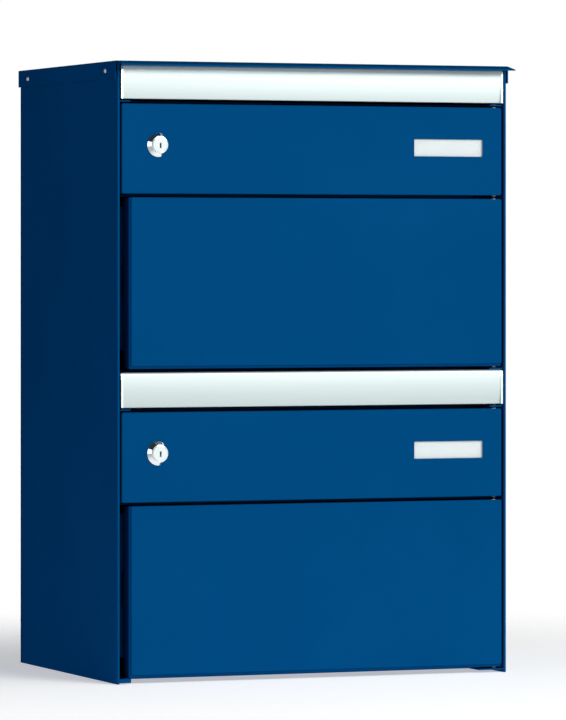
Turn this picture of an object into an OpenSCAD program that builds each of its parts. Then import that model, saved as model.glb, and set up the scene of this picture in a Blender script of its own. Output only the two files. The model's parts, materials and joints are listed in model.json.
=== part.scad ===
// Two-compartment wall letterbox: two stacked units, each with an insertion flap,
// a lockable letter door and an unlocked parcel door below it, under one common roof.
// X runs to the right, Y to the back and Z up; the origin is at the bottom centre.

/* [Housing] */
// Width over the side panels
body_w = 412; // [380:1:460]
// Depth from the door faces to the wall
body_d = 294; // [260:1:360]
// Height of one unit
unit_h = 300; // [300:1:340]
// Thickness of the side panels
side_t = 2.5; // [2:0.1:3]
// Thickness of the folded inner sheets
sheet_t = 1.2; // [1:0.1:1.5]
// Thickness of the back panel
back_t = 1.5; // [1.5:0.1:2.5]
// Width of the side panels' rear flanges
rear_flange = 20; // [16:1:26]

/* [Roof] */
// Height of the roof's upper face above the top of the upper unit
roof_rise = 5; // [5:0.5:8]
// Thickness of the roof sheet
roof_t = 1; // [0.8:0.1:1.2]
// Height of the roof's side aprons
apron_h = 17; // [14:1:24]
// Reach of the drip lip in front of the doors
lip_reach = 18; // [10:1:30]
// Drop of the drip lip's tip below the roof's upper face
lip_drop = 3.6; // [3:0.1:4]
// Height of the drip lip's blunt tip
tip_h = 1.4; // [1:0.1:1.8]
// Gap between the aprons and the side panels, kept by spacers on the roof screws
apron_gap = 1.3; // [1:0.1:1.8]

/* [Flap] */
// Height of the flap
flap_h = 34.4; // [34:0.1:36]
// Height of the flap's lower edge in its unit
flap_z = 268; // [267.8:0.1:268.2]
// Gap between each end of the flap and the side panel
flap_gap = 1.3; // [1:0.1:2]
// Radius of the bead that the flap turns in
bead_r = 2.9; // [2.8:0.1:3]
// Radius of the flap's crowned face
crown_r = 150; // [100:5:200]
// Thickness of the flap's wall
flap_wall = 1.6; // [1.4:0.1:1.8]
// Width of the caps at the flap's ends
cap_w = 1.9; // [1.6:0.1:3]

/* [Letter door] */
// Height of the letter door
letter_h = 87.5; // [86:0.5:87.5]
// Height of the letter door's lower edge in its unit
letter_z = 176; // [176:0.5:177]
// Thickness of the letter door's sheet
letter_t = 1.5; // [1.2:0.1:1.6]
// Depth of the letter door's folded rim
rim_d = 14; // [12:0.5:14]

/* [Parcel door] */
// Lower edge of the parcel door's tray in its unit
tray_z = 5.6; // [5.5:0.1:6]
// Upper edge of the parcel door
parcel_top = 172.4; // [171:0.1:172.6]
// Width of the finger gap beside the parcel door's front
finger_gap = 11.8; // [11:0.1:16]
// Width of the tray's border below the front
tray_below = 2.8; // [2:0.1:4]
// Width of the tray's border at the grip side of the front
tray_beside = 2.1; // [1.5:0.1:3]
// Depth of the tray's rim on the grip side
grip_d = 14; // [14:0.5:18]

/* [Hinges] */
// Gap between the doors' hinge edges and the side panel
hinge_gap = 2.4; // [2.2:0.1:3]
// Distance from the hinge edge to the hinge rod
rod_inset = 6.8; // [6.5:0.1:7]
// Depth of the hinge rod behind the door faces
rod_y = 5; // [4.8:0.1:5.2]
// Radius of the hinge rod and of the flap's pins
rod_r = 1.5; // [1.5:0.1:1.6]
// Radial clearance of the turning parts
run_gap = 0.05; // [0.03:0.01:0.08]

/* [Lock] */
// Distance from the side panel's outer face to the lock's axis
lock_inset = 42.4; // [40:0.1:44]
// Height of the lock's axis above the letter door's lower edge
lock_rise = 47.5; // [44:0.5:50]
// Radius of the lock's rosette at the door
rosette_r = 12; // [11:0.25:13]
// Radius of the lock plug's face
plug_face_r = 7.25; // [7:0.05:7.5]
// Reach of the lock in front of the door
lock_reach = 4.4; // [4:0.1:7]
// Length of the cam from the lock's axis
cam_l = 34; // [33:0.5:36]

/* [Name plate] */
// Width of the name plate's window
plate_w = 73.9; // [60:0.1:80]
// Height of the name plate's window
plate_h = 17; // [14:0.5:20]
// Distance from the side panel's outer face to the window's near edge
plate_inset = 25.6; // [25:0.1:40]
// Reach of the window in front of the letter door
plate_reach = 0.8; // [0:0.1:1.2]

/* [Wall mounting] */
// Radius of the wall screw holes
wall_hole_r = 3.5; // [3:0.25:4.5]
// Distance between the wall screw holes across the back
wall_pitch_x = 320; // [280:10:340]
// Distance between the wall screw holes up the back
wall_pitch_z = 480; // [460:10:500]

/* [Hidden] */

$fn = 48;
cut = 1;             // overshoot of every cutting solid

// Colours
blue = "#014479";
dark_blue = "#00386b";
silver = "#dfe9ea";
steel = "#b4b8bb";
chrome = "#eef0f2";
black = "#1c1c1e";
white = "#eef4f6";

// Main planes, with Y counted back from the door faces
front_y = (lip_reach - body_d) / 2;
out_x = body_w / 2;
in_x = out_x - side_t;
back_y = body_d - back_t;
roof_top = 2 * unit_h + roof_rise;
roof_under = roof_top - roof_t;
edge = 0.5;          // chamfer on the side panels' front edges

// Doors and hinge axis
hinge_x = in_x - hinge_gap;
rod_x = hinge_x - rod_inset;
rod_low = 2.7;       // under face of the shelves and foot of the hinge rod
shelf_top = rod_low + sheet_t;
shelf_y = 28;        // front edge of the shelves, behind the swing of the tray
wall_h = 15;         // height of the shelves' side flanges
letter_left = -in_x + 1.9;
front_left = -in_x + finger_gap;
front_z = tray_z + tray_below;
tray_left = front_left - tray_beside;
skin_t = 1.2;
letter_top = letter_z + letter_h;
bush_r = 2.2;
bush_collar_r = 2.5;
clip_t = 0.8;

// Sill rail between the letter door and the flap, set back behind its lugs
sill_z = letter_top + 1.8;
sill_top = sill_z + sheet_t;
sill_y = [22, 48];
sill_rise = 13;      // height of the rail's side flanges
sill_stud_y = 35;

// Hinge lugs: reach beside the rod, and their front edges
lug_beside = 5.3;
lug_y = 1;
tab_y = 2.5;

// Flap pivot
pivot_y = 3;
pivot_h = flap_h - bead_r;
pivot_z = flap_z + pivot_h;
flap_end = in_x - flap_gap;
pin_l = 16;
crown_z = 24;        // height of the crown's foremost line on the flap
crown_y = pivot_y + sqrt(pow(crown_r - bead_r, 2) - pow(pivot_h - crown_z, 2));
cap_front = -0.5;    // front and back of the end caps
cap_back = 6.2;
cap_slope = 3.5;

// Letter floor, level with the gap between the two doors
floor_z = letter_z - 2.6;
floor_top = floor_z + sheet_t;
floor_lip_y = 17;
lip_h = 9;

// Grip side: stop strip and lock strike on the left side panel
stop_y = 25;
catch_z = [78, 102];  // height of the magnet plate
strike_y = 16;
lock_x = -out_x + lock_inset;
lock_z = letter_z + lock_rise;
plate_x = out_x - plate_inset - plate_w / 2;
plate_z = letter_z + 47;

// Lock depths
barrel_r = 8;
barrel_end = 16;
core_r = 5.5;
cam_y = 17.6;
cam_t = 1.6;
cam_w = 12;
drive = 8;
plug_head_h = 1.9;

// Fasteners
stud_r = 2;
stud_l = 6.5;
nut_af = 7;
nut_h = 3.2;
roof_screw_y = [28.6, body_d - 30.5];
roof_screw_z = roof_top - 8.5;
roof_screw_r = 1.5;
roof_head_r = 2.9;
roof_head_h = 2.2;
back_screw_x = out_x - rear_flange / 2;
back_screw_z = [40, unit_h - 80, unit_h + 80, 2 * unit_h - 40];

// Weld studs of one unit as [Y, Z] on each side panel
shelf_studs = [[60, 11], [250, 11], [60, floor_top + 7.5], [250, floor_top + 7.5],
    [sill_stud_y, sill_top + 7]];
stop_studs = [[36, 50], [36, 138]];
strike_studs = [[34, lock_z - 9], [34, lock_z + 9]];

// --- placing helpers -------------------------------------------------------------

// Puts a shape that is drawn from the door faces into its unit: 0 is the lower, 1 the upper
module unit(level) translate([0, front_y, level * unit_h]) children();

// A box given by its limits along each axis
module span(x, y, z) translate([x[0], y[0], z[0]]) cube([x[1] - x[0], y[1] - y[0], z[1] - z[0]]);

// Round bars along each axis, from one coordinate to the other
module bar_x(r, x0, x1, y, z) translate([x0, y, z]) rotate([0, 90, 0]) cylinder(r = r, h = x1 - x0);
module bar_y(r, y0, y1, x, z) translate([x, y1, z]) rotate([90, 0, 0]) cylinder(r = r, h = y1 - y0);
module bar_z(r, z0, z1, x, y) translate([x, y, z0]) cylinder(r = r, h = z1 - z0);

// A plate in the door plane with rounded corners
module plate(x, y, z, r) {
    translate([0, y[1], 0]) rotate([90, 0, 0]) linear_extrude(y[1] - y[0])
        difference() {
            translate([x[0], z[0]]) square([x[1] - x[0], z[1] - z[0]]);
            for (cx = [0, 1], cz = [0, 1])
                translate([x[cx], z[cz]]) corner_cut(r, cx == 0 ? 1 : -1, cz == 0 ? 1 : -1);
        }
}

module corner_cut(r, sx, sz) {
    difference() {
        translate([sx * r / 2 - sx * cut / 2, sz * r / 2 - sz * cut / 2]) square(r + cut, center = true);
        translate([sx * r, sz * r]) circle(r = r);
    }
}

// A hexagonal nut with its axis along X, from x0 to x1
module nut_x(af, bore_r, x0, x1, y, z) {
    difference() {
        translate([x0, y, z]) rotate([0, 90, 0]) cylinder(r = af / 2 / cos(30), h = x1 - x0, $fn = 6);
        bar_x(bore_r, x0 - cut, x1 + cut, y, z);
    }
}

// Both side panels take the same list of studs; the left one also holds stop and strike
function studs_on(side) = side > 0 ? shelf_studs : concat(shelf_studs, stop_studs, strike_studs);

// --- housing ----------------------------------------------------------------------

// side is -1 for the left panel and 1 for the right one
module side_panel(side) {
    color(blue) unit(0) mirror([side < 0 ? 1 : 0, 0, 0]) difference() {
        linear_extrude(roof_under) polygon([
            [out_x, edge], [out_x - edge, 0], [in_x + edge, 0], [in_x, edge],
            [in_x, back_y - side_t], [out_x - rear_flange, back_y - side_t],
            [out_x - rear_flange, back_y], [out_x, back_y]]);
        for (y = roof_screw_y)
            bar_x(roof_screw_r + 0.1, in_x - cut, out_x + cut, y, roof_screw_z);
        for (z = back_screw_z)
            bar_y(stud_r, back_y - side_t - cut, back_y + cut, back_screw_x, z);
    }
}

module back_panel() {
    head_r = 2 * stud_r;
    color(blue) unit(0) difference() {
        span([-out_x, out_x], [back_y, body_d], [0, roof_under]);
        for (x = [-1, 1], z = [-1, 1])
            bar_y(wall_hole_r, back_y - cut, body_d + cut,
                x * wall_pitch_x / 2, unit_h + z * wall_pitch_z / 2);
        for (x = [-1, 1], z = back_screw_z)
            translate([x * back_screw_x, body_d - back_t, z]) rotate([-90, 0, 0])
                cylinder(r1 = head_r - back_t, r2 = head_r, h = back_t);
    }
}

module back_screws() {
    head_r = 2 * stud_r;
    color(steel) unit(0) for (x = [-1, 1], z = back_screw_z) {
        translate([x * back_screw_x, back_y, z]) rotate([-90, 0, 0])
            cylinder(r1 = head_r - back_t, r2 = head_r, h = back_t);
        bar_y(stud_r, back_y - side_t - 1, back_y, x * back_screw_x, z);
    }
}

// A shelf with upturned side flanges; z is its under face and y its front edge
module shelf_sheet(z, y) {
    rear = back_y - side_t - 0.5;
    side_y = max(y, shelf_y) + 2;
    difference() {
        union() {
            span([-in_x, in_x], [y, rear], [z, z + sheet_t]);
            for (s = [-1, 1])
                span([min(s * in_x, s * (in_x - sheet_t)), max(s * in_x, s * (in_x - sheet_t))],
                    [side_y, rear], [z, z + sheet_t + wall_h]);
        }
        for (s = [-1, 1], p = shelf_studs)
            bar_x(stud_r + 0.2, s * in_x - 3, s * in_x + 3, p[0], p[1]);
    }
}

module bottom_panel() {
    right_lug = 177;
    stop_front = 0.4;
    stop_low = 1.2;
    color(blue) unit(0) difference() {
        union() {
            shelf_sheet(rod_low, shelf_y);
            span([right_lug, in_x], [lug_y, shelf_y + cut], [rod_low, shelf_top]);
            span([-in_x, front_left], [stop_front, shelf_y + cut], [rod_low, shelf_top]);
            span([-in_x, front_left], [stop_front, stop_front + sheet_t], [stop_low, tray_z - 0.4]);
        }
        bar_z(rod_r, rod_low - cut, shelf_top + cut, rod_x, rod_y);
    }
}

module divider_shelf() {
    color(dark_blue) unit(1) difference() {
        union() {
            shelf_sheet(rod_low, shelf_y);
            span([rod_x - lug_beside, in_x], [2.2, shelf_y + cut], [rod_low, shelf_top]);
        }
        bar_z(rod_r, rod_low - cut, shelf_top + cut, rod_x, rod_y);
    }
}

module letter_floor(level) {
    color(dark_blue) unit(level) {
        shelf_sheet(floor_z, floor_lip_y);
        span([-in_x + 14, in_x - 26], [floor_lip_y, floor_lip_y + sheet_t], [floor_z, floor_top + lip_h]);
    }
}

// Cross rail under the flap; its right lug holds the upper end of the hinge rod
module sill_rail(level) {
    rear_drop = 12;
    color(blue) unit(level) difference() {
        union() {
            span([-in_x, in_x], sill_y, [sill_z, sill_top]);
            span([-in_x, in_x], [sill_y[1] - sheet_t, sill_y[1]], [sill_z - rear_drop, sill_top]);
            span([rod_x - lug_beside, hinge_x + 0.4], [lug_y, sill_y[0] + cut], [sill_z, sill_top]);
            span([-in_x, front_left], [tab_y, sill_y[0] + cut], [sill_z, sill_top]);
            for (s = [-1, 1])
                span([min(s * in_x, s * (in_x - sheet_t)), max(s * in_x, s * (in_x - sheet_t))],
                    [sill_stud_y - 8, sill_stud_y + 8], [sill_z, sill_top + sill_rise]);
        }
        bar_z(rod_r, sill_z - cut, sill_top + cut, rod_x, rod_y);
        for (s = [-1, 1])
            bar_x(stud_r + 0.2, s * in_x - 3, s * in_x + 3, sill_stud_y, sill_top + 7);
    }
}

module weld_studs() {
    color(steel) for (level = [0, 1], s = [-1, 1]) unit(level)
        for (p = studs_on(s))
            bar_x(stud_r, min(s * in_x, s * (in_x - stud_l)), max(s * in_x, s * (in_x - stud_l)),
                p[0], p[1]);
}

module stud_nuts() {
    seat = in_x - sheet_t;
    color(steel) for (level = [0, 1], s = [-1, 1]) unit(level)
        for (p = studs_on(s))
            nut_x(nut_af, stud_r, min(s * seat, s * (seat - nut_h)), max(s * seat, s * (seat - nut_h)),
                p[0], p[1]);
}

module roof() {
    apron_x = out_x + apron_gap;
    color(dark_blue) unit(0) difference() {
        union() {
            translate([-apron_x - roof_t, 0, 0]) rotate([90, 0, 90]) linear_extrude(2 * (apron_x + roof_t))
                polygon([[body_d, roof_top], [0, roof_top], [-lip_reach, roof_top - lip_drop],
                    [-lip_reach, roof_top - lip_drop - tip_h], [0, roof_under], [body_d, roof_under]]);
            for (s = [-1, 1])
                span([min(s * apron_x, s * (apron_x + roof_t)), max(s * apron_x, s * (apron_x + roof_t))],
                    [0, body_d], [roof_top - apron_h, roof_top - roof_t / 2]);
        }
        for (s = [-1, 1], y = roof_screw_y)
            bar_x(roof_screw_r + 0.1, s * apron_x - 4, s * apron_x + 4, y, roof_screw_z);
    }
}

module roof_screws() {
    face = out_x + apron_gap + roof_t;
    dome_r = (roof_head_r * roof_head_r + roof_head_h * roof_head_h) / (2 * roof_head_h);
    recess_r = 1.1;
    recess_floor = 0.8;
    color(chrome) unit(0) for (s = [0, 1], y = roof_screw_y) mirror([s, 0, 0]) {
        difference() {
            translate([face, y, roof_screw_z]) rotate([0, 90, 0]) rotate_extrude() intersection() {
                translate([0, roof_head_h - dome_r]) circle(r = dome_r);
                square([roof_head_r, dome_r]);
            }
            translate([face + recess_floor, y, roof_screw_z]) rotate([0, 90, 0])
                cylinder(r = recess_r, h = roof_head_h, $fn = 6);
        }
        bar_x(roof_screw_r, in_x - 3.5, face, y, roof_screw_z);
    }
}

// Washers that fill the gap between the side panels and the aprons
module roof_spacers() {
    washer_r = 4;
    color(black) unit(0) for (s = [0, 1], y = roof_screw_y) mirror([s, 0, 0]) difference() {
        bar_x(washer_r, out_x, out_x + apron_gap, y, roof_screw_z);
        bar_x(roof_screw_r + 0.1, out_x - cut, out_x + apron_gap + cut, y, roof_screw_z);
    }
}

module roof_nuts() {
    color(steel) unit(0) for (s = [0, 1], y = roof_screw_y) mirror([s, 0, 0])
        nut_x(5.5, roof_screw_r, in_x - 2.4, in_x, y, roof_screw_z);
}

module flap_pivot_pins() {
    color(black) for (level = [0, 1], s = [0, 1]) unit(level) mirror([s, 0, 0]) {
        bar_x(rod_r, in_x - pin_l, in_x, pivot_y, pivot_z);
        bar_x(bead_r - 0.3, in_x - 0.8, in_x, pivot_y, pivot_z);
    }
}

// The rod passes through both doors of a unit and is held by shelf and sill rail
module hinge_rod(level) {
    color(black) unit(level) bar_z(rod_r, rod_low, sill_top + clip_t + 0.2, rod_x, rod_y);
}

// Retaining clips: under the parcel door, under the letter door and above the sill rail
module hinge_rod_clips() {
    color(black) for (level = [0, 1]) unit(level)
        for (z = [tray_z - clip_t - 0.5, letter_z - clip_t - 0.5, sill_top])
            difference() {
                bar_z(rod_r + 1.1, z, z + clip_t, rod_x, rod_y);
                bar_z(rod_r, z - cut, z + clip_t + cut, rod_x, rod_y);
                span([rod_x - 0.9, rod_x + 0.9], [rod_y, rod_y + 4], [z - cut, z + clip_t + cut]);
            }
}

module parcel_door_stop(level) {
    color(blue) unit(level) difference() {
        union() {
            span([-in_x, -in_x + sheet_t], [stop_y, stop_y + 19], [24, 164]);
            span([-in_x, -in_x + 21.5], [stop_y, stop_y + sheet_t], [24, 164]);
        }
        for (p = stop_studs)
            bar_x(stud_r + 0.2, -in_x - 3, -in_x + 3, p[0], p[1]);
    }
}

module magnet_catch(level) {
    color(black) unit(level)
        span([tray_left + 0.8, tray_left + 10.3], [grip_d + 1, stop_y], [catch_z[0] - 3, catch_z[1] + 3]);
}

module lock_strike(level) {
    half = 17.5;
    color(steel) unit(level) difference() {
        union() {
            span([-in_x, -in_x + sheet_t], [strike_y, strike_y + 28], [lock_z - half, lock_z + half]);
            span([-in_x, -in_x + 13], [strike_y, strike_y + sheet_t], [lock_z - half, lock_z + half]);
        }
        for (p = strike_studs)
            bar_x(stud_r + 0.2, -in_x - 3, -in_x + 3, p[0], p[1]);
    }
}

// Rubber buffers of one unit: two behind each door and one at each end of the flap
module buffers(level) {
    color(black) unit(level) {
        for (z = [38, 146])
            bar_y(4, grip_d + 0.3, stop_y, tray_left + 5.8, z);
        for (x = [-120, 120])
            bar_y(2.6, rim_d + 0.3, floor_lip_y, x, floor_top + 4);
        for (x = [[-in_x, 6 - in_x], [in_x - 6, in_x]])
            span(x, [cap_back + 0.3, cap_back + 5.5], [flap_z + 2, flap_z + 9]);
    }
}

// --- flap -------------------------------------------------------------------------

// The crowned face as a disc in Y and Z; it runs into the pivot bead without a step
module crown_disc(r) translate([crown_y, crown_z]) circle(r = r, $fn = 240);

// Section of the flap in Y and Z, with Z counted from the flap's lower edge; its foot is rounded
module flap_section() {
    half_wall = flap_wall / 2;
    foot_y = crown_y - sqrt(pow(crown_r - half_wall, 2) - pow(crown_z - half_wall, 2));
    translate([pivot_y, pivot_h]) circle(r = bead_r);
    intersection() {
        difference() {
            crown_disc(crown_r);
            crown_disc(crown_r - flap_wall);
        }
        translate([-1, half_wall]) square([cap_back + 1, pivot_h - half_wall]);
    }
    translate([foot_y, half_wall]) circle(r = half_wall);
}

module flap(level) {
    half = flap_end - cap_w;
    color(silver) unit(level) difference() {
        translate([-half, 0, flap_z]) rotate([90, 0, 90]) linear_extrude(2 * half) flap_section();
        bar_x(rod_r + run_gap, -half - cut, -half + pin_l, pivot_y, pivot_z);
        bar_x(rod_r + run_gap, half - pin_l, half + cut, pivot_y, pivot_z);
    }
}

module flap_end_caps(level) {
    color(chrome) unit(level) for (s = [0, 1]) mirror([s, 0, 0]) difference() {
        translate([flap_end - cap_w, 0, flap_z]) rotate([90, 0, 90]) linear_extrude(cap_w) {
            polygon([[cap_front, 0], [cap_back, 0], [cap_back, pivot_h],
                [pivot_y - bead_r, pivot_h], [cap_front, pivot_h - cap_slope]]);
            translate([pivot_y, pivot_h]) circle(r = bead_r);
        }
        bar_x(rod_r + run_gap, flap_end - cap_w - cut, flap_end + cut, pivot_y, pivot_z);
    }
}

// --- letter door ------------------------------------------------------------------

module letter_door(level) {
    x = [letter_left, hinge_x];
    z = [letter_z, letter_top];
    t = letter_t;
    color(blue) unit(level) difference() {
        plate(x, [0, rim_d], z, 2);
        span([x[0] + t, x[1] - t], [t, rim_d + cut], [z[0] + t, z[1] - t]);
        for (zz = z)
            bar_z(bush_r, zz - t - cut, zz + t + cut, rod_x, rod_y);
        bar_y(barrel_r + 0.1, -cut, t + cut, lock_x, lock_z);
        span([plate_x - plate_w / 2, plate_x + plate_w / 2], [-cut, t + cut],
            [plate_z - plate_h / 2, plate_z + plate_h / 2]);
    }
}

// A flanged bush in the lower (dir = 1) or upper (dir = -1) rim of a door
module bush(z, t, dir) {
    translate([rod_x, rod_y, z]) flip_z(dir) difference() {
        union() {
            translate([0, 0, -0.3]) cylinder(r = bush_r, h = t + 0.4);
            translate([0, 0, t]) cylinder(r = bush_collar_r, h = 4);
        }
        translate([0, 0, -cut]) cylinder(r = rod_r + run_gap, h = t + 4 + 2 * cut);
    }
}

module flip_z(dir) mirror([0, 0, dir < 0 ? 1 : 0]) children();

module letter_door_bushes(level) {
    color(white) unit(level) {
        bush(letter_z, letter_t, 1);
        bush(letter_top, letter_t, -1);
    }
}

module lock_housing(level) {
    rim_h = 0.6;
    cone_top = 0.3 - lock_reach;
    groove = 0.6;
    lip = 0.5;
    color(chrome) unit(level) translate([lock_x, 0, lock_z]) rotate([-90, 0, 0]) difference() {
        union() {
            rotate_extrude() polygon([[0, 0], [rosette_r, 0], [rosette_r, -rim_h],
                [plug_face_r + groove + lip, cone_top], [0, cone_top]]);
            cylinder(r = barrel_r, h = barrel_end);
        }
        translate([0, 0, -lock_reach - cut])
            cylinder(r = plug_face_r + groove, h = plug_head_h + 0.1 + cut);
        translate([0, 0, -lock_reach]) cylinder(r = core_r + run_gap, h = lock_reach + barrel_end + cut);
    }
}

module lock_nut(level) {
    color(steel) unit(level) translate([lock_x, letter_t, lock_z]) rotate([-90, 0, 0]) difference() {
        cylinder(r = 12.4, h = 3, $fn = 6);
        translate([0, 0, -cut]) cylinder(r = barrel_r, h = 3 + 2 * cut);
    }
}

module name_window(level) {
    w = plate_w / 2 - 0.3;
    h = plate_h / 2 - 0.3;
    color(white, 0.5) unit(level) {
        plate([plate_x - w, plate_x + w], [-plate_reach, letter_t], [plate_z - h, plate_z + h], 0.6);
        span([plate_x - w - 2.3, plate_x + w + 2.3], [letter_t, letter_t + 0.8],
            [plate_z - h - 2, plate_z + h + 2]);
    }
}

module name_card(level) {
    w = plate_w / 2 + 2;
    h = plate_h / 2 + 1.7;
    color("white") unit(level)
        span([plate_x - w, plate_x + w], [letter_t + 0.8, letter_t + 1.1], [plate_z - h, plate_z + h]);
}

module name_plate_holder(level) {
    w = plate_w / 2 + 4.5;
    h = plate_h / 2 + 4;
    color(white) unit(level) difference() {
        span([plate_x - w, plate_x + w], [letter_t, letter_t + 2.6], [plate_z - h, plate_z + h]);
        span([plate_x - w + 2.4, plate_x + w - 2.4], [0, letter_t + 1.1],
            [plate_z - h + 2.2, plate_z + h - 2.2]);
    }
}

// --- lock plug --------------------------------------------------------------------

module lock_plug(level) {
    key_x = 0.7;
    key_z = -0.6;
    key_w = 1.7;
    key_h = 5.6;
    color(chrome) unit(level) translate([lock_x, 0, lock_z]) rotate([-90, 0, 0]) difference() {
        union() {
            translate([0, 0, -lock_reach]) cylinder(r = plug_face_r, h = plug_head_h);
            translate([0, 0, 1 - lock_reach]) cylinder(r = core_r, h = lock_reach + barrel_end - 0.6);
            translate([-drive / 2, -drive / 2, barrel_end]) cube([drive, drive, cam_y + cam_t - barrel_end]);
        }
        translate([key_x - key_w / 2, -key_z - key_h / 2, -lock_reach - cut]) cube([key_w, key_h, 5 + cut]);
        translate([0, 0, 10]) cylinder(r = stud_r, h = 20);
    }
}

module lock_cam(level) {
    color(steel) unit(level) translate([lock_x, cam_y, lock_z]) rotate([-90, 0, 0]) difference() {
        union() {
            cylinder(r = 8.5, h = cam_t);
            translate([-cam_w / 2, 0, 0]) cube([cam_w, cam_l, cam_t]);
        }
        translate([-drive / 2, -drive / 2, -cut]) cube([drive, drive, cam_t + 2 * cut]);
    }
}

module cam_screw(level) {
    color(steel) unit(level) translate([lock_x, cam_y + cam_t, lock_z]) rotate([-90, 0, 0]) {
        cylinder(r = 5.8, h = 0.8);
        translate([0, 0, 0.8]) difference() {
            cylinder(r = 3.6, h = 1.8);
            translate([0, 0, 0.8]) cylinder(r = 1.6, h = 2, $fn = 6);
        }
        translate([0, 0, -8]) cylinder(r = stud_r, h = 8);
    }
}

// --- parcel door ------------------------------------------------------------------

module parcel_door_front(level) {
    color(blue) unit(level) plate([front_left, hinge_x], [0, skin_t], [front_z, parcel_top], 1.5);
}

module parcel_door_tray(level) {
    x = [tray_left, hinge_x];
    z = [tray_z, parcel_top];
    t = sheet_t;
    lip_w = 12;
    lip_z = [z[0] + 2, z[1] - 2];
    color(dark_blue) unit(level) difference() {
        union() {
            plate(x, [skin_t, rim_d], z, 1.5);
            span([x[0], x[0] + t], [skin_t + t, grip_d], lip_z);
        }
        span([x[0] + t, x[1] - t], [skin_t + t, grip_d - t], [z[0] + t, z[1] - t]);
        span([x[0] + lip_w, x[1] - t], [skin_t + t, grip_d + cut], [z[0] + t, z[1] - t]);
        for (zz = z)
            bar_z(bush_r, zz - t - cut, zz + t + cut, rod_x, rod_y);
    }
}

module parcel_door_bushes(level) {
    color(white) unit(level) {
        bush(tray_z, sheet_t, 1);
        bush(parcel_top, sheet_t, -1);
    }
}

module magnet_plate(level) {
    color(steel) unit(level) span([tray_left + 1, tray_left + 10], [grip_d, grip_d + 0.7], catch_z);
}

// --- nodes ------------------------------------------------------------------------

side_panel(-1);  // left_side_panel
side_panel(1);  // right_side_panel
back_panel();
back_screws();
bottom_panel();
letter_floor(0);  // lower_letter_floor
divider_shelf();
letter_floor(1);  // upper_letter_floor
weld_studs();
stud_nuts();
roof();
roof_screws();
roof_nuts();
roof_spacers();
flap_pivot_pins();
hinge_rod_clips();
sill_rail(0);  // lower_sill_rail
sill_rail(1);  // upper_sill_rail
hinge_rod(0);  // lower_hinge_rod
hinge_rod(1);  // upper_hinge_rod
parcel_door_stop(0);  // lower_parcel_door_stop
parcel_door_stop(1);  // upper_parcel_door_stop
magnet_catch(0);  // lower_magnet_catch
magnet_catch(1);  // upper_magnet_catch
lock_strike(0);  // lower_lock_strike
lock_strike(1);  // upper_lock_strike
buffers(0);  // lower_buffers
buffers(1);  // upper_buffers
flap(0);  // lower_flap
flap(1);  // upper_flap
flap_end_caps(0);  // lower_flap_end_caps
flap_end_caps(1);  // upper_flap_end_caps
letter_door(0);  // lower_letter_door
letter_door(1);  // upper_letter_door
letter_door_bushes(0);  // lower_letter_door_bushes
letter_door_bushes(1);  // upper_letter_door_bushes
lock_housing(0);  // lower_lock_housing
lock_housing(1);  // upper_lock_housing
lock_nut(0);  // lower_lock_nut
lock_nut(1);  // upper_lock_nut
name_plate_holder(0);  // lower_name_plate_holder
name_plate_holder(1);  // upper_name_plate_holder
name_card(0);  // lower_name_card
name_card(1);  // upper_name_card
name_window(0);  // lower_name_window
name_window(1);  // upper_name_window
lock_plug(0);  // lower_lock_plug
lock_plug(1);  // upper_lock_plug
lock_cam(0);  // lower_lock_cam
lock_cam(1);  // upper_lock_cam
cam_screw(0);  // lower_cam_screw
cam_screw(1);  // upper_cam_screw
parcel_door_front(0);  // lower_parcel_door_front
parcel_door_front(1);  // upper_parcel_door_front
parcel_door_tray(0);  // lower_parcel_door_tray
parcel_door_tray(1);  // upper_parcel_door_tray
parcel_door_bushes(0);  // lower_parcel_door_bushes
parcel_door_bushes(1);  // upper_parcel_door_bushes
magnet_plate(0);  // lower_magnet_plate
magnet_plate(1);  // upper_magnet_plate
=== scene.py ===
"""Looks of a wall letterbox with two stacked units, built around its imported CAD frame.

The shape functions work in millimetres along the frame's axes, with Y counted back from the door
faces. Piece.finish turns them into the frame's metres."""

import json
import math
from types import SimpleNamespace

import bmesh
import bpy
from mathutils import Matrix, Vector


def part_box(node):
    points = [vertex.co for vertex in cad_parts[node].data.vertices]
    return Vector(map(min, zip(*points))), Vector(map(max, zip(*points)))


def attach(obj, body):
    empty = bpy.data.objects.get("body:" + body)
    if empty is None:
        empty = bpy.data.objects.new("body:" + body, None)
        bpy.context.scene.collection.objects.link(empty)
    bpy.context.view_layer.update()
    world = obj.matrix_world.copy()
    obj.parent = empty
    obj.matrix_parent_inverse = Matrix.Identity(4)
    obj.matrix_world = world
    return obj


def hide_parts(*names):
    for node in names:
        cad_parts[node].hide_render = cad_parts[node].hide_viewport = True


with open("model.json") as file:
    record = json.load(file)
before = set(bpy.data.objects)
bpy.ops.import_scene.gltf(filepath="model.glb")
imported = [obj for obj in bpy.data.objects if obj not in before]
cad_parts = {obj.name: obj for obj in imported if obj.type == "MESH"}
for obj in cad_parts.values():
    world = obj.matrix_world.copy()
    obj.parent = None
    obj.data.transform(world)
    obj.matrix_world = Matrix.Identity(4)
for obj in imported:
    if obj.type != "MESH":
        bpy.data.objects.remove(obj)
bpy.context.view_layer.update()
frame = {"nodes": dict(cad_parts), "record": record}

LEVELS = ("lower", "upper")
DOOR_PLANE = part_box("lower_parcel_door_front")[0].y
SLOT_OF = {part["node"]: part["material_slot"] for part in frame["record"]["subparts"]}
BODY_OF = {node: body for body, nodes in frame["record"]["behaviour"]["bodies"].items() for node in nodes}

# Facets of round shapes
ARC_STEPS = 6           # a rounded corner
ROUND_STEPS = 64        # a turned part of the lock
ROD_STEPS = 32          # a rod, and the lock's hole in the door
BORE_STEPS = 24         # the bore for a pivot pin
HEX_STEPS = 6           # a hexagonal socket
SHARP_ANGLE = math.radians(38)      # edges above it stay sharp, or are bevelled

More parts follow.
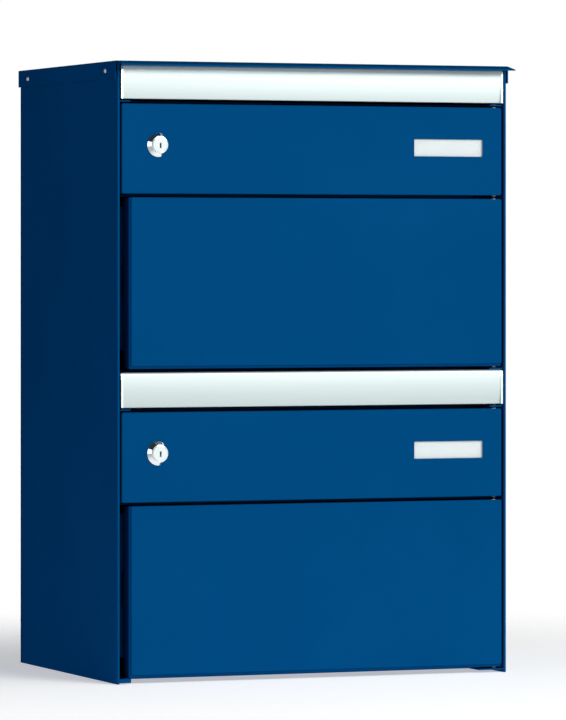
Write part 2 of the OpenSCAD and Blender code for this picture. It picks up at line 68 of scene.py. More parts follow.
# Shared sizes, in millimetres
SMALLEST_CORNER = 0.02
JOIN_DISTANCE = 1e-4    # points that are closer than this are one point
SKIN_EDGE = 0.45        # rounding of cut sheet edges under the paint
FOLD = 1.3              # outer radius of a folded sheet edge
SIDE_SHEET = 2.5        # thickness of the side panels
WINDOW_LIP = 2.3        # the name window's flange beyond its raised face, at the sides
WINDOW_RISE = 2.0       # the same above and below the face
CARD_GAP = 0.1          # air between the name window and the card behind it


def limits(node):
    """The limits of a CAD node at rest, in millimetres from the door faces' plane."""
    low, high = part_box(node)
    return SimpleNamespace(
        x0=low.x * 1000, x1=high.x * 1000,
        y0=(low.y - DOOR_PLANE) * 1000, y1=(high.y - DOOR_PLANE) * 1000,
        z0=low.z * 1000, z1=high.z * 1000)


def middle(box):
    """The middle of a box as seen from the front, as (x, z)."""
    return (box.x0 + box.x1) / 2, (box.z0 + box.z1) / 2


def raised_face(window):
    """The part of a name window that stands in the door's cut-out."""
    return SimpleNamespace(
        x0=window.x0 + WINDOW_LIP, x1=window.x1 - WINDOW_LIP,
        z0=window.z0 + WINDOW_RISE, z1=window.z1 - WINDOW_RISE)


# --- outlines ---------------------------------------------------------------------------

def arc(cx, cy, radius, start, end, steps):
    """Points on an arc, with angles in degrees."""
    turns = [math.radians(start + (end - start) * i / steps) for i in range(steps + 1)]
    return [(cx + radius * math.cos(a), cy + radius * math.sin(a)) for a in turns]


def rounded(corners):
    """A closed outline from corners (x, y, radius), each turned into an arc."""
    points = []
    for i, (x, y, radius) in enumerate(corners):
        here = Vector((x, y))
        back = (Vector(corners[i - 1][:2]) - here).normalized()
        ahead = (Vector(corners[(i + 1) % len(corners)][:2]) - here).normalized()
        if radius <= 0:
            points.append((x, y))
            continue
        half = back.angle(ahead) / 2
        centre = here + (back + ahead).normalized() * radius / math.sin(half)
        first, last = (here + way * radius / math.tan(half) - centre for way in (back, ahead))
        start = math.degrees(math.atan2(first.y, first.x))
        sweep = (math.degrees(math.atan2(last.y, last.x)) - start + 180) % 360 - 180
        points += arc(centre.x, centre.y, radius, start, start + sweep, ARC_STEPS)
    return points


def rectangle(x0, x1, z0, z1, radius):
    """A rounded rectangle that always has the same number of points."""
    r = max(radius, SMALLEST_CORNER)
    return (arc(x0 + r, z0 + r, r, 180, 270, ARC_STEPS) + arc(x1 - r, z0 + r, r, 270, 360, ARC_STEPS)
            + arc(x1 - r, z1 - r, r, 0, 90, ARC_STEPS) + arc(x0 + r, z1 - r, r, 90, 180, ARC_STEPS))


def circle(cx, cy, radius, steps):
    return arc(cx, cy, radius, 0, 360, steps)[:-1]


def quarter(radius, steps=4):
    """Steps of a rounded edge as (inset, depth), from the face round to the side."""
    turns = [math.radians(90 * k / steps) for k in range(steps + 1)]
    return [(radius * (1 - math.sin(a)), radius * (1 - math.cos(a))) for a in turns]


# --- mesh building ----------------------------------------------------------------------

class Piece:
    """A mesh that is built from closed loops of points, then finished into an object."""

    def __init__(self):
        self.bm = bmesh.new()

    def loop(self, points):
        return [self.bm.verts.new(p) for p in points]

    def flat_loop(self, outline, y):
        """A loop from an outline of (x, z) that lies at one depth."""
        return self.loop([(x, y, z) for x, z in outline])

    def framed(self, box, corner, stations):
        """Loops round a box, one for each station (inset, y)."""
        loops = []
        for inset, y in stations:
            outline = rectangle(box.x0 + inset, box.x1 - inset, box.z0 + inset, box.z1 - inset,
                                corner - inset)
            loops.append(self.flat_loop(outline, y))
        return loops

    def wall(self, first, second):
        for i in range(len(first)):
            self.bm.faces.new((first[i - 1], first[i], second[i], second[i - 1]))

    def skin(self, loops):
        """Joins each loop to the next one."""
        for first, second in zip(loops, loops[1:]):
            self.wall(first, second)

    def cap(self, *loops):
        """Closes a flat region: the first loop is its outline and the others are its holes."""
        if len(loops) == 1:
            self.bm.faces.new(loops[0])
            return
        edges = []
        for ring in loops:
            for i in range(len(ring)):
                pair = (ring[i - 1], ring[i])
                edges.append(self.bm.edges.get(pair) or self.bm.edges.new(pair))
        bmesh.ops.triangle_fill(self.bm, use_beauty=True, use_dissolve=False, edges=edges)

    def prism(self, section, axis, start, end, holes=()):
        """A straight extrusion of a section, with its holes, along one axis."""
        place = {"x": lambda u, v, w: (w, u, v),
                 "y": lambda u, v, w: (u, w, v),
                 "z": lambda u, v, w: (u, v, w)}[axis]
        ends = []
        for w in (start, end):
            ends.append([self.loop([place(u, v, w) for u, v in ring]) for ring in (section, *holes)])
        for first, second in zip(*ends):
            self.wall(first, second)
        for rings in ends:
            self.cap(*rings)

    def lathe(self, profile, cx, cz):
        """Turns a profile of (radius, y) about an axis along Y and returns its rings."""
        rings = [self.flat_loop(circle(cx, cz, r, ROUND_STEPS), y) for r, y in profile]
        self.skin(rings)
        return rings

    def finish(self, name, nodes, edge=0.0):
        """Makes the object: it rides on its CAD node's body and takes that node's slot."""
        bm = self.bm
        bmesh.ops.remove_doubles(bm, verts=bm.verts, dist=JOIN_DISTANCE)
        bmesh.ops.recalc_face_normals(bm, faces=bm.faces)
        for v in bm.verts:
            v.co = Vector((v.co.x / 1000, v.co.y / 1000 + DOOR_PLANE, v.co.z / 1000))
        mesh = bpy.data.meshes.new(name)
        bm.to_mesh(mesh)
        bm.free()
        mesh.shade_smooth()
        mesh.set_sharp_from_angle(angle=SHARP_ANGLE)
        obj = bpy.data.objects.new(name, mesh)
        bpy.context.scene.collection.objects.link(obj)
        soften(obj, edge)
        node = nodes[0]
        mesh.materials.append(LOOKS[SLOT_OF[node]])
        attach(obj, BODY_OF[node])
        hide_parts(*nodes)


def soften(obj, edge):
    """Rounds the sharp edges that are left and evens out the shading."""
    if edge > 0:
        bevel = obj.modifiers.new("edges", "BEVEL")
        bevel.width = edge / 1000
        bevel.segments = 2
        bevel.limit_method = "ANGLE"
        bevel.angle_limit = SHARP_ANGLE
        bevel.miter_outer = "MITER_ARC"
    weighted = obj.modifiers.new("shading", "WEIGHTED_NORMAL")
    weighted.keep_sharp = True


# --- materials --------------------------------------------------------------------------

NOISE_LOW, NOISE_HIGH = 0.3, 0.7    # most of a noise lies between them
NOISE_ROUGHNESS = 0.55


class Look:
    """A procedural material on object coordinates, so that it stays on its moving piece."""

    def __init__(self, name, **values):
        self.name = name
        self.material = bpy.data.materials.new(name)
        self.material.use_nodes = True
        self.tree = self.material.node_tree
        self.shader = self.tree.nodes["Principled BSDF"]
        self.coordinates = self.tree.nodes.new("ShaderNodeTexCoord").outputs["Object"]
        for socket, value in values.items():
            self.shader.inputs[socket.replace("_", " ")].default_value = value

    def noise(self, scale, detail, stretch=(1, 1, 1)):
        """Noise with about `scale` cells to the metre, times `stretch` along each axis."""
        mapping = self.tree.nodes.new("ShaderNodeMapping")
        mapping.inputs["Scale"].default_value = stretch
        self.tree.links.new(self.coordinates, mapping.inputs["Vector"])
        texture = self.tree.nodes.new("ShaderNodeTexNoise")
        texture.inputs["Scale"].default_value = scale
        texture.inputs["Detail"].default_value = detail
        texture.inputs["Roughness"].default_value = NOISE_ROUGHNESS
        self.tree.links.new(mapping.outputs["Vector"], texture.inputs["Vector"])
        return texture.outputs["Fac"]

    def span(self, value, low, high):
        """Maps the middle of a noise to a range of numbers."""
        node = self.tree.nodes.new("ShaderNodeMapRange")
        node.inputs["From Min"].default_value = NOISE_LOW
        node.inputs["From Max"].default_value = NOISE_HIGH
        node.inputs["To Min"].default_value = low
        node.inputs["To Max"].default_value = high
        self.tree.links.new(value, node.inputs["Value"])
        return node.outputs["Result"]

    def colour(self, value, dark, light):
        """Blends the base colour between two colours."""
        mix = self.tree.nodes.new("ShaderNodeMix")
        mix.data_type = "RGBA"
        mix.inputs["A"].default_value = (*dark, 1)
        mix.inputs["B"].default_value = (*light, 1)
        self.tree.links.new(self.span(value, 0, 1), mix.inputs["Factor"])
        self.tree.links.new(mix.outputs["Result"], self.shader.inputs["Base Color"])

    def roughness(self, value, low, high):
        self.tree.links.new(self.span(value, low, high), self.shader.inputs["Roughness"])

    def bump(self, value, depth):
        """Relief of about `depth` millimetres from the value."""
        node = self.tree.nodes.new("ShaderNodeBump")
        node.inputs["Strength"].default_value = 1.0
        node.inputs["Distance"].default_value = depth / 1000
        self.tree.links.new(value, node.inputs["Height"])
        self.tree.links.new(node.outputs["Normal"], self.shader.inputs["Normal"])


def powder_coat(name, dark, light):
    """Paint without a mirror-like sheen, slightly cloudy and with a faint orange peel."""
    look = Look(name, Specular_IOR_Level=0.0)
    peel = look.noise(scale=760, detail=3)
    look.colour(look.noise(scale=7, detail=3), dark, light)
    look.roughness(peel, 0.3, 0.4)
    look.bump(peel, depth=0.02)
    return look


def anodised(name, dark, light, rough):
    """Satin anodised aluminium with the fine lines of its extrusion along X."""
    look = Look(name, Metallic=1.0)
    lines = look.noise(scale=40, detail=4, stretch=(0.05, 22, 22))
    look.colour(lines, dark, light)
    look.roughness(lines, *rough)
    look.bump(lines, depth=0.006)
    return look


def chrome():
    look = Look("chrome", Metallic=1.0)
    haze = look.noise(scale=160, detail=4)
    look.colour(haze, dark=(0.93, 0.95, 0.95), light=(0.96, 0.98, 0.98))
    look.roughness(haze, 0.05, 0.12)
    look.bump(haze, depth=0.01)
    return look


def turned_steel(name, dark, light):
    """Steel with fine rings across Z, as turning leaves them."""
    look = Look(name, Metallic=1.0)
    rings = look.noise(scale=90, detail=3, stretch=(1, 1, 16))
    look.colour(rings, dark, light)
    look.roughness(rings, 0.22, 0.34)
    look.bump(rings, depth=0.01)
    return look


def zinc():
    look = Look("zinc_steel", Metallic=1.0)
    cloud = look.noise(scale=240, detail=5)
    look.colour(cloud, dark=(0.46, 0.48, 0.5), light=(0.62, 0.63, 0.62))
    look.roughness(cloud, 0.3, 0.5)
    look.bump(cloud, depth=0.015)
    return look


def moulded(name, dark, light, rough, scale=900, depth=0.02):
    """A moulded plastic or rubber with a fine grain."""
    look = Look(name)
    grain = look.noise(scale, detail=2)
    look.colour(look.noise(scale=60, detail=2), dark, light)
    look.roughness(grain, *rough)
    look.bump(grain, depth)
    return look


def card():
    look = Look("card", Specular_IOR_Level=0.2)
    fibre = look.noise(scale=700, detail=5, stretch=(0.4, 1, 1))
    look.colour(fibre, dark=(0.76, 0.8, 0.81), light=(0.8, 0.84, 0.85))
    look.roughness(fibre, 0.7, 0.85)
    look.bump(fibre, depth=0.01)
    return look


def clear_cover():
    look = Look("clear_cover", Alpha=0.12)
    ripple = look.noise(scale=50, detail=2)
    look.colour(ripple, dark=(0.9, 0.94, 0.95), light=(0.94, 0.97, 0.98))
    look.roughness(ripple, 0.06, 0.12)
    look.bump(ripple, depth=0.02)
    return look


LOOKS = {look.name: look.material for look in (
    powder_coat("powder_coat", dark=(0.0002, 0.06, 0.19), light=(0.0005, 0.066, 0.206)),
    # powder_coat_navy is a darker copy of the same blue powder coat: painted shade, for the parcel door
    # trays whose border and finger lip sit in shade behind the front plates
    powder_coat("powder_coat_navy", dark=(0.0002, 0.045, 0.16), light=(0.0004, 0.05, 0.17)),
    anodised("anodised", dark=(0.6, 0.665, 0.67), light=(0.64, 0.705, 0.71), rough=(0.5, 0.6)),
    anodised("anodised_cap", dark=(0.88, 0.95, 0.95), light=(0.92, 0.98, 0.98), rough=(0.28, 0.36)),
    chrome(),
    turned_steel("stainless", dark=(0.6, 0.62, 0.63), light=(0.72, 0.73, 0.74)),
    # dark_steel is near black: painted shade, so the rods that show in the narrow gaps between doors and
    # flaps stay as dark as those shaded gaps
    turned_steel("dark_steel", dark=(0.02, 0.021, 0.024), light=(0.032, 0.033, 0.036)),
    zinc(),
    moulded("black_plastic", dark=(0.02, 0.02, 0.022), light=(0.035, 0.035, 0.037), rough=(0.4, 0.55)),
    moulded("rubber", dark=(0.016, 0.016, 0.018), light=(0.03, 0.03, 0.03), rough=(0.65, 0.85),
            scale=500, depth=0.04),
    moulded("nylon", dark=(0.78, 0.79, 0.77), light=(0.84, 0.84, 0.82), rough=(0.35, 0.45)),
    card(),
    clear_cover(),
)}


# --- housing ----------------------------------------------------------------------------

def side_panel(node, side):
    """One sheet over the full height, with a rounded front edge and a folded rear flange."""
    front_outer, front_inner = 0.7, 1.1
    bend_outer, bend_inner = 3.0, 0.8
    box = limits(node)
    outer, flange_x = (box.x1, box.x0) if side > 0 else (-box.x0, -box.x1)
    inner = outer - SIDE_SHEET
    flange_y = box.y1 - SIDE_SHEET
    corners = [(outer, box.y0, front_outer), (outer, box.y1, bend_outer),
               (flange_x, box.y1, SKIN_EDGE), (flange_x, flange_y, SKIN_EDGE),
               (inner, flange_y, bend_inner), (inner, box.y0, front_inner)]
    piece = Piece()
    piece.prism([(side * x, y) for x, y in rounded(corners)], "z", box.z0, box.z1)
    piece.finish(node + "_sheet", [node], edge=0.4)


def roof():
    """A folded sheet: top plate, two side aprons and a blunt drip lip at the front."""
    box = limits("roof")
    thick, bend = 1.0, 0.95
    tip_low, tip_high = 5.0, 3.6        # the lip's foremost edges, below the top
    under = box.z1 - thick
    right = box.x1
    bend_z = box.z1 - bend
    outer = [(right, box.z0), (right, under)]
    outer += arc(right - bend, bend_z, bend, 0, 90, ARC_STEPS)
    outer += arc(bend - right, bend_z, bend, 90, 180, ARC_STEPS)
    outer += [(-right, under), (-right, box.z0)]
    inner = right - thick
    inside = [(-inner, box.z0), (-inner, under), (inner, under), (inner, box.z0)]
    piece = Piece()
    rear = piece.flat_loop(outer + inside, box.y1)
    front = piece.flat_loop(outer + inside, 0)
    piece.wall(rear, front)
    piece.cap(rear)
    count = len(outer)
    # the aprons end at the door faces, and the plate goes on into the lip
    piece.cap([front[0], front[1], front[count + 2], front[count + 3]])
    piece.cap([front[count - 1], front[count - 2], front[count + 1], front[count]])
    neck = front[1:count - 1] + [front[count + 1], front[count + 2]]
    spread = (tip_low - tip_high) / thick
    tip = piece.loop([(v.co.x, box.y0, box.z1 - tip_low + (v.co.z - under) * spread) for v in neck])
    piece.wall(neck, tip)
    piece.cap(tip)
    piece.finish("roof_sheet", ["roof"], edge=0.25)


def roof_screws():
    """Domed screws with a hexagonal recess, two on each apron."""
    box = limits("roof_screws")
    face = limits("roof").x1
    dome_h = box.x1 - face
    head_r, socket_r, shank_r = 2.9, 1.15, 1.5
    head_edge = 0.05        # the head's underside is smaller than its rim by this
    socket_floor = 0.8
    socket_taper = 0.95
    shank_end = -8.0
    head_steps = 48
    dome_steps, dome_end = 12, 5        # the dome is drawn in from its rim and stops outside the socket
    rows_y = (box.y0 + head_r, box.y1 - head_r)
    cz = (box.z0 + box.z1) / 2
    radius = (head_r ** 2 + dome_h ** 2) / (2 * dome_h)
    profile = [(shank_r, shank_end), (shank_r, 0), (head_r - head_edge, 0)]
    for k in range(dome_steps, dome_end, -1):
        reach = head_r * k / dome_steps
        profile.append((reach, dome_h - radius + math.sqrt(radius ** 2 - reach ** 2)))
    piece = Piece()

    def ring(side, cy, radius, height, steps):
        x = side * (face + height)
        return piece.loop([(x, y, z) for y, z in circle(cy, cz, radius, steps)])

    for side in (-1, 1):
        for cy in rows_y:
            rings = [ring(side, cy, r, h, head_steps) for r, h in profile]
            piece.skin(rings)
            piece.cap(rings[0])
            # the recess is hexagonal, so its rim is joined to the last round ring
            rim = ring(side, cy, socket_r, profile[-1][1], HEX_STEPS)
            floor = ring(side, cy, socket_r * socket_taper, socket_floor, HEX_STEPS)
            piece.cap(rings[-1], rim)
            piece.wall(rim, floor)
            piece.cap(floor)
    piece.finish("roof_screws_domed", ["roof_screws"])


def hinge_rod(level):
    """A turned rod with chamfered ends."""
    node = level + "_hinge_rod"
    box = limits(node)
    radius = (box.x1 - box.x0) / 2
    cx = (box.x0 + box.x1) / 2
    cy = (box.y0 + box.y1) / 2
    chamfer = 0.3
    stations = [(radius - chamfer, box.z0), (radius, box.z0 + chamfer),
                (radius, box.z1 - chamfer), (radius - chamfer, box.z1)]
    piece = Piece()
    rings = [piece.loop([(u, v, z) for u, v in circle(cx, cy, r, ROD_STEPS)]) for r, z in stations]
    piece.skin(rings)
    piece.cap(rings[0])
    piece.cap(rings[-1])
    piece.finish(node + "_turned", [node])


# --- doors ------------------------------------------------------------------------------

def pan(piece, box, thick, corner, depth, holes=()):
    """A folded pan that is open at the back, with rounded folds and cut-outs in its face."""
    soft = 0.3          # chamfer of the rim, and the smallest radius inside a fold
    face = box.y0
    rim = face + depth
    stations = [(inset, face + y) for inset, y in quarter(FOLD)]
    stations += [(0, rim - soft), (soft, rim), (thick - soft, rim), (thick, rim - soft)]
    for inset, y in reversed(quarter(max(FOLD - thick, soft), steps=2)):
        stations.append((thick + inset, face + thick + y))
    rings = piece.framed(box, corner, stations)
    piece.skin(rings)
    fronts, backs = [], []
    for outline_at in holes:
        steps = [(SKIN_EDGE / 2, face), (0, face + SKIN_EDGE / 2), (0, face + thick)]
        cut = [piece.flat_loop(outline_at(grow), y) for grow, y in steps]
        piece.skin(cut)
        fronts.append(cut[0])
        backs.append(cut[-1])
    piece.cap(rings[0], *fronts)
    piece.cap(rings[-1], *backs)


def letter_door(level):
    """The folded letter door with the cut-outs for the lock and for the name plate."""
    node = level + "_letter_door"
    box = limits(node)
    window = raised_face(limits(level + "_name_window"))
    cx, cz = middle(limits(level + "_lock_housing"))
    thick = limits(level + "_lock_nut").y0
    corner, window_corner = 2.0, 0.4
    window_gap = 0.3
    lock_hole_r = 8.1

    def window_hole(grow):
        g = grow + window_gap
        return rectangle(window.x0 - g, window.x1 + g, window.z0 - g, window.z1 + g, window_corner)

    def lock_hole(grow):
        return circle(cx, cz, lock_hole_r + grow, ROD_STEPS)

    piece = Piece()
    pan(piece, box, thick, corner, box.y1, [window_hole, lock_hole])
    piece.finish(node + "_pan", [node])


def name_window(level):
    """The clear cover: its face stands in the door's cut-out and its flange behind the sheet."""
    node = level + "_name_window"
    box = limits(node)
    sheet = limits(level + "_lock_nut").y0
    corner, soft = 0.6, 0.4
    knee = soft * 0.3       # the middle of the rounding, from both faces
    piece = Piece()
    rings = piece.framed(raised_face(box), corner,
                         [(soft, box.y0), (knee, box.y0 + knee), (0, box.y0 + soft), (0, sheet)])
    rings += piece.framed(box, corner, [(0, sheet), (0, box.y1 - CARD_GAP)])
    piece.skin(rings)
    piece.cap(rings[0])
    piece.cap(rings[-1])
    piece.finish(node + "_cover", [node])


def name_card(level):
    node = level + "_name_card"
    box = limits(node)
    corner = 0.5
    piece = Piece()
    piece.prism(rectangle(box.x0, box.x1, box.z0, box.z1, corner), "y", box.y0, box.y1)
    piece.finish(node + "_blank", [node])


def parcel_front(level):
    """The plate on the front of the parcel door, with rolled edges."""
    node = level + "_parcel_door_front"
    box = limits(node)
    corner, soft, chamfer = 1.5, 0.5, 0.15
    stations = [(inset, box.y0 + y) for inset, y in quarter(soft)]
    stations += [(0, box.y1 - chamfer), (chamfer, box.y1)]
    piece = Piece()
    rings = piece.framed(box, corner, stations)
    piece.skin(rings)
    piece.cap(rings[0])
    piece.cap(rings[-1])
    piece.finish(node + "_plate", [node])


def parcel_tray(level):
    """The larger tray behind the front plate; its left rim is returned to a lip for the fingers."""
    node = level + "_parcel_door_tray"
    box = limits(node)
    front = limits(level + "_parcel_door_front")
    thick = front.y1 - front.y0
    lip, corner, lip_corner = 12.0, 1.5, 0.3
    body = SimpleNamespace(x0=box.x0, x1=box.x1, y0=front.y1, z0=box.z0, z1=box.z1)
    piece = Piece()
    pan(piece, body, thick, corner, box.y1 - front.y1)
    corners = [(box.x0 + thick, box.y1 - thick, 0), (box.x0 + thick, box.y1, 0),
               (box.x0 + lip, box.y1, lip_corner), (box.x0 + lip, box.y1 - thick, lip_corner)]
    piece.prism(rounded(corners), "z", box.z0 + thick, box.z1 - thick)
    piece.finish(node + "_pan", [node])


# --- flap -------------------------------------------------------------------------------

CROWN_R, FLAP_WALL, BEAD_R = 150.0, 1.6, 2.9
CROWN_RISE = 24.0       # height of the crown's foremost line on the flap
PIN_BORE_R = 1.55


def flap_pivot(node):
    """Limits of a flap part, the middle of the bead that it turns in, and the bore there."""
    box = limits(node)
    pin = limits("flap_pivot_pins")
    pivot = SimpleNamespace(y=(pin.y0 + pin.y1) / 2, z=box.z1 - BEAD_R)
    return box, pivot, circle(pivot.y, pivot.z, PIN_BORE_R, BORE_STEPS)


def flap(level):
    """Extrusion with a pivot bead and a crowned wall that runs into it; its foot is rounded."""
    node = level + "_flap"
    box, pivot, bore = flap_pivot(node)
    foot_steps, outer_steps, bead_steps, inner_steps = 12, 32, 26, 24
    foot_end = 190          # where the foot's rounding runs into the inner side, in degrees
    crown_z = box.z0 + CROWN_RISE
    crown_y = pivot.y + math.sqrt((CROWN_R - BEAD_R) ** 2 - (pivot.z - crown_z) ** 2)
    half = FLAP_WALL / 2

    def crown(depth, z):
        return (crown_y - math.sqrt((CROWN_R - depth) ** 2 - (z - crown_z) ** 2), z)

    # the outer side meets the bead where both touch, the inner side cuts into it
    meet = math.degrees(math.atan2(pivot.z - crown_z, pivot.y - crown_y))
    reach = math.hypot(pivot.z - crown_z, pivot.y - crown_y)
    spread = ((CROWN_R - FLAP_WALL) ** 2 - reach ** 2 - BEAD_R ** 2) / (2 * reach * BEAD_R)
    inside = meet + math.degrees(math.acos(spread)) - 360
    high = pivot.z + BEAD_R * math.sin(math.radians(meet))
    top = pivot.z + BEAD_R * math.sin(math.radians(inside))
    low = box.z0 + half
    outline = arc(*crown(half, low), half, 360, foot_end, foot_steps)
    outline += [crown(0, low + (high - low) * k / outer_steps) for k in range(1, outer_steps)]
    outline += arc(pivot.y, pivot.z, BEAD_R, meet, inside, bead_steps)
    outline += [crown(FLAP_WALL, top + (low - top) * k / inner_steps) for k in range(1, inner_steps)]
    piece = Piece()
    piece.prism(outline, "x", box.x0, box.x1, holes=[bore])
    piece.finish(node + "_extrusion", [node])


def flap_caps(level):
    """The caps that close the ends of the flap, with the bore for the pivot pin."""
    node = level + "_flap_end_caps"
    box, pivot, bore = flap_pivot(node)
    width, soft, shoulder = 1.9, 0.5, 1.0
    slope = 3.5             # height over which the cap narrows to the bead
    bead_start, bead_end, bead_steps = 170, 10, 16
    outline = rounded([(box.y1, box.z0, soft), (box.y0, box.z0, soft),
                       (box.y0, pivot.z - slope, shoulder), (pivot.y - BEAD_R, pivot.z, 0)])
    outline += arc(pivot.y, pivot.z, BEAD_R, bead_start, bead_end, bead_steps)
    outline += [(box.y1, pivot.z)]
    piece = Piece()
    for x0, x1 in ((box.x0, box.x0 + width), (box.x1 - width, box.x1)):
        piece.prism(outline, "x", x0, x1, holes=[bore])
    piece.finish(node + "_moulded", [node], edge=0.15)


# --- lock -------------------------------------------------------------------------------

CORE_R = 5.5
PLUG_HEAD = 1.9         # thickness of the plug's head


def lock_housing(level):
    """The lock's conical rosette and its barrel, turned in one piece."""
    node = level + "_lock_housing"
    box = limits(node)
    flare = (box.x1 - box.x0) / 2
    top = box.y0
    seat_play, core_play = 0.1, 0.05
    seat = limits(level + "_lock_plug").y0 + PLUG_HEAD + seat_play
    barrel, recess, lip = 8.0, 7.85, 8.35   # radii
    bore = CORE_R + core_play
    rim = 0.6               # height of the straight edge below the cone
    foot, soft, fine = 0.2, 0.15, 0.1       # edge roundings
    low = (flare - soft, -soft - rim)
    high = (lip + soft, top + soft)
    profile = [(barrel, box.y1), (barrel, 0.0), (flare - foot, 0.0), (flare, -soft), (flare, fine - rim)]
    # rings close to the cone's ends keep its shading even
    profile += [tuple(a + (b - a) * k for a, b in zip(low, high)) for k in (0, 0.06, 0.94, 1)]
    profile += [(lip - fine, top), (recess + fine, top), (recess, top + fine), (recess, seat),
                (bore, seat), (bore, box.y1), (barrel, box.y1)]
    piece = Piece()
    piece.lathe(profile, *middle(box))
    piece.finish(node + "_turned", [node])


def lock_plug(level):
    """The turning plug: a flat face with a chamfered key slot, core and square drive."""
    node = level + "_lock_plug"
    box = limits(node)
    housing = limits(level + "_lock_housing")
    cx, cz = middle(housing)
    radius = 7.25
    drive, drive_corner = 4.0, 0.4
    slot_x, slot_z = cx + 0.7, cz - 0.6     # beside the axis, as in the photograph
    slot_w, slot_h, slot_corner = 0.85, 2.8, 0.25
    bevel, depth = 0.1, 12.0
    chamfer, roll, knee = 0.1, 0.25, 0.08   # edges of the head: its back, and its front in two steps
    face = box.y0
    back = face + PLUG_HEAD
    piece = Piece()
    rings = piece.lathe([
        (CORE_R, housing.y1), (CORE_R, back), (radius - chamfer, back), (radius, back - chamfer),
        (radius, face + roll), (radius - knee, face + knee), (radius - roll, face)], cx, cz)
    slot = []
    for grow, y in ((bevel, face), (0, face + bevel), (0, face + depth)):
        w, h = slot_w + grow, slot_h + grow
        outline = rectangle(slot_x - w, slot_x + w, slot_z - h, slot_z + h, slot_corner + grow)
        slot.append(piece.flat_loop(outline, y))
    piece.cap(rings[-1], slot[0])
    piece.skin(slot)
    piece.cap(slot[-1])
    outline = rectangle(cx - drive, cx + drive, cz - drive, cz + drive, drive_corner)
    square = [piece.flat_loop(outline, y) for y in (housing.y1, box.y1)]
    piece.cap(rings[0], square[0])
    piece.wall(*square)
    piece.cap(square[1])
    piece.finish(node + "_turned", [node])


# --- carried-over CAD nodes ---------------------------------------------------------------

def carry_over(node, obj):
    """A CAD part whose shape is right: it keeps its mesh and gets soft edges and its finish."""
    weld = obj.modifiers.new("weld", "WELD")
    weld.merge_threshold = 1e-5
    flat = obj.modifiers.new("flat", "DECIMATE")
    flat.decimate_type = "DISSOLVE"
    flat.angle_limit = math.radians(0.5)
    soften(obj, edge=0.25)
    obj.data.materials.clear()
    obj.data.materials.append(LOOKS[SLOT_OF[node]])


# --- studio, in metres --------------------------------------------------------------------

DOME_AXIS = Vector((0.72, -0.66, 0.2))      # brightest direction of the surround
DOME_FAR, DOME_NEAR = 0.35, 0.9             # cosines from that axis where its light starts and is full
DOME_LOW, DOME_HIGH = 0.03, 1.06            # its darkest and brightest light
DOME_TINT = (0.88, 0.94, 0.95, 1)
GROUND = 0.5                                # its light from below the horizon
GROUND_DEPTH = -0.12                        # height of a direction where that light is full
FLOOR_RADIUS = 0.95
FLOOR_FADE = (0.3, 0.98)                    # where the floor starts to fade and is gone, of its radius
WHITE = (1, 1, 1, 1)


def area_light(name, place, target, size, power, colour=(1, 1, 1)):
    lamp = bpy.data.lights.new(name, "AREA")
    lamp.shape = "RECTANGLE"
    lamp.size, lamp.size_y = size
    lamp.energy = power
    lamp.color = colour
    obj = bpy.data.objects.new(name, lamp)
    obj.location = place
    obj.rotation_euler = (Vector(target) - Vector(place)).to_track_quat("-Z", "Y").to_euler()
    bpy.context.scene.collection.objects.link(obj)


def surround(scene):
    """White where the camera sees it; as light it is a soft dome, brightest at the front right."""
    world = bpy.data.worlds.new("surround")
    scene.world = world
    world.use_nodes = True
    tree = world.node_tree
    tree.nodes.clear()
    seen = tree.nodes.new("ShaderNodeBackground")
    seen.inputs["Color"].default_value = WHITE
    lit = tree.nodes.new("ShaderNodeBackground")
    lit.inputs["Color"].default_value = DOME_TINT
    direction = tree.nodes.new("ShaderNodeTexCoord")
    facing = tree.nodes.new("ShaderNodeVectorMath")
    facing.operation = "DOT_PRODUCT"
    facing.inputs[1].default_value = DOME_AXIS.normalized()
    level = tree.nodes.new("ShaderNodeMapRange")
    level.interpolation_type = "SMOOTHSTEP"
    level.inputs["From Min"].default_value = DOME_FAR
    level.inputs["From Max"].default_value = DOME_NEAR
    level.inputs["To Min"].default_value = DOME_LOW
    level.inputs["To Max"].default_value = DOME_HIGH
    height = tree.nodes.new("ShaderNodeSeparateXYZ")
    ground = tree.nodes.new("ShaderNodeMapRange")
    ground.inputs["From Min"].default_value = 0.0
    ground.inputs["From Max"].default_value = GROUND_DEPTH
    ground.inputs["To Max"].default_value = GROUND
    brighter = tree.nodes.new("ShaderNodeMath")
    brighter.operation = "MAXIMUM"
    path = tree.nodes.new("ShaderNodeLightPath")
    mix = tree.nodes.new("ShaderNodeMixShader")
    out = tree.nodes.new("ShaderNodeOutputWorld")
    link = tree.links.new
    link(direction.outputs["Generated"], facing.inputs[0])
    link(facing.outputs["Value"], level.inputs["Value"])
    link(direction.outputs["Generated"], height.inputs[0])
    link(height.outputs["Z"], ground.inputs["Value"])
    link(level.outputs["Result"], brighter.inputs[0])
    link(ground.outputs["Result"], brighter.inputs[1])
    link(brighter.outputs["Value"], lit.inputs["Strength"])
    link(path.outputs["Is Camera Ray"], mix.inputs["Fac"])
    link(lit.outputs["Background"], mix.inputs[1])
    link(seen.outputs["Background"], mix.inputs[2])
    link(mix.outputs["Shader"], out.inputs["Surface"])


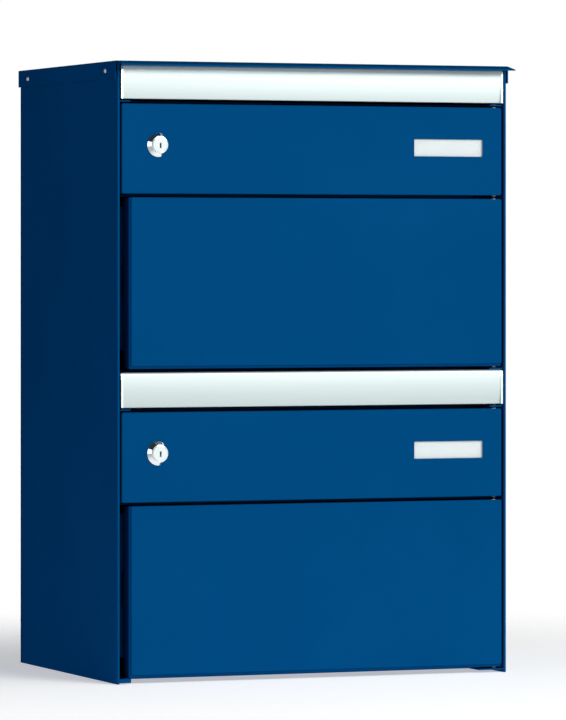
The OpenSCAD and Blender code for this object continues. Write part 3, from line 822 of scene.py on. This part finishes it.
def floor_disc(scene):
    """A pale round floor that fades out towards its rim."""
    floor = bpy.data.objects.new("floor", bpy.data.meshes.new("floor"))
    bm = bmesh.new()
    bmesh.ops.create_circle(bm, cap_ends=True, radius=FLOOR_RADIUS, segments=96)
    bm.to_mesh(floor.data)
    bm.free()
    look = Look("floor", Specular_IOR_Level=0.1, Emission_Color=WHITE, Emission_Strength=0.46)
    grain = look.noise(scale=30, detail=3)
    look.colour(grain, dark=(0.9, 0.9, 0.9), light=(0.92, 0.92, 0.92))
    look.roughness(grain, 0.8, 0.9)
    tree = look.tree
    reach = tree.nodes.new("ShaderNodeVectorMath")
    reach.operation = "LENGTH"
    fade = tree.nodes.new("ShaderNodeMapRange")
    fade.interpolation_type = "SMOOTHSTEP"
    fade.inputs["From Min"].default_value = FLOOR_RADIUS * FLOOR_FADE[0]
    fade.inputs["From Max"].default_value = FLOOR_RADIUS * FLOOR_FADE[1]
    fade.inputs["To Min"].default_value = 1
    fade.inputs["To Max"].default_value = 0
    tree.links.new(look.coordinates, reach.inputs[0])
    tree.links.new(reach.outputs["Value"], fade.inputs["Value"])
    tree.links.new(fade.outputs["Result"], look.shader.inputs["Alpha"])
    floor.data.materials.append(look.material)
    scene.collection.objects.link(floor)


def studio():
    """A pale floor, a white surround, and soft lights: a key, a top light and a blue side card."""
    scene = bpy.context.scene
    scene.view_settings.view_transform = "Standard"
    surround(scene)
    floor_disc(scene)
    area_light("key", place=(0.75, -1.9, 1.2), target=(0, DOOR_PLANE, 0.5), size=(1.0, 0.6), power=24,
               colour=(1, 0.98, 0.92))
    area_light("top", place=(0.2, -1.0, 2.6), target=(0.1, -0.3, 0), size=(1.0, 0.8), power=2.5)
    area_light("side_card", place=(-2.6, -1.1, 0.86), target=(0, 0, 0.5), size=(1.0, 1.48), power=12,
               colour=(0.45, 0.58, 1))


def camera():
    """The photograph's viewing angle: level, from the front left, with a long lens."""
    lens = bpy.data.cameras.new("camera")
    lens.sensor_width = 36
    lens.lens = 254.55
    lens.shift_y = -0.1381
    lens.clip_end = 50
    obj = bpy.data.objects.new("camera", lens)
    obj.location = (-1.8677, -4.7855, 0.41104)
    obj.rotation_euler = (math.radians(90), 0, math.radians(-21.537))
    bpy.context.scene.collection.objects.link(obj)
    bpy.context.scene.camera = obj


camera()
studio()
side_panel("left_side_panel", -1)
side_panel("right_side_panel", 1)
roof()
roof_screws()
for level in LEVELS:
    hinge_rod(level)
    letter_door(level)
    name_window(level)
    name_card(level)
    parcel_front(level)
    parcel_tray(level)
    flap(level)
    flap_caps(level)
    lock_housing(level)
    lock_plug(level)
for node, obj in frame["nodes"].items():
    if not obj.hide_render:
        carry_over(node, obj)
